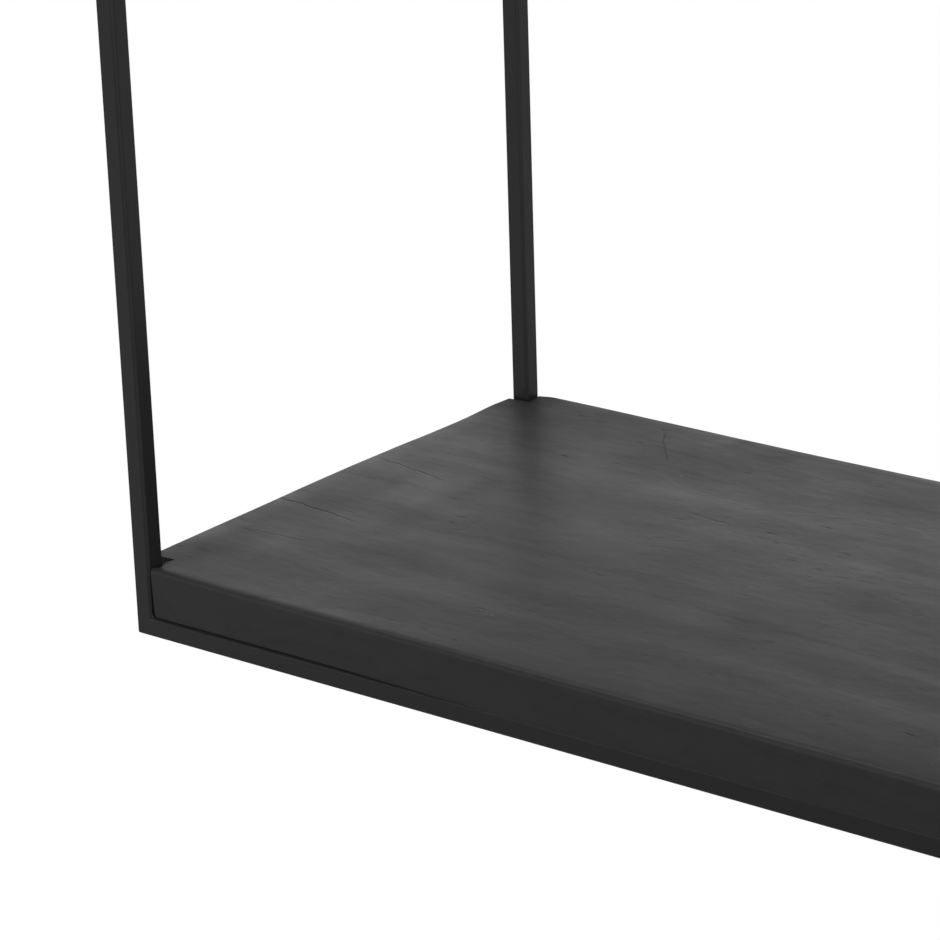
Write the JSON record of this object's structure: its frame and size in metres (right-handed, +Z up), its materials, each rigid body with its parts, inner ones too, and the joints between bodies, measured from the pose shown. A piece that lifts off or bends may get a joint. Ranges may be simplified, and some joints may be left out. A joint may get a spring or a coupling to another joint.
{
  "type": "wall shelf",
  "caption": "Open box-shaped wall shelf: a slim square-tube steel frame with a thick wooden board notched round its posts, and hangers at the back for wall screws.",
  "frame": {"origin": "middle of the frame's underside, halfway along its width and its depth", "axes": "+X along the shelf to the right, +Y from the room to the wall, +Z up"},
  "size_m": [0.8, 0.3, 0.4],
  "materials": {
    "frame_steel": "black powder coat, satin",
    "board_wood": "black stain, satin",
    "screw_steel": "zinc plated"
  },
  "bodies": {
    "root": {"front_left_post": "frame_steel", "front_right_post": "frame_steel", "back_left_post": "frame_steel", "back_right_post": "frame_steel", "front_bottom_rail": "frame_steel", "front_top_rail": "frame_steel", "back_bottom_rail": "frame_steel", "back_top_rail": "frame_steel", "left_bottom_rail": "frame_steel", "left_top_rail": "frame_steel", "right_bottom_rail": "frame_steel", "right_top_rail": "frame_steel", "front_left_lug": "frame_steel", "front_right_lug": "frame_steel", "back_left_lug": "frame_steel", "back_right_lug": "frame_steel", "left_lug": "frame_steel", "right_lug": "frame_steel", "left_hanger": "frame_steel", "right_hanger": "frame_steel", "shelf_board": "board_wood", "board_screws": "screw_steel"}
  },
  "joints": []
}
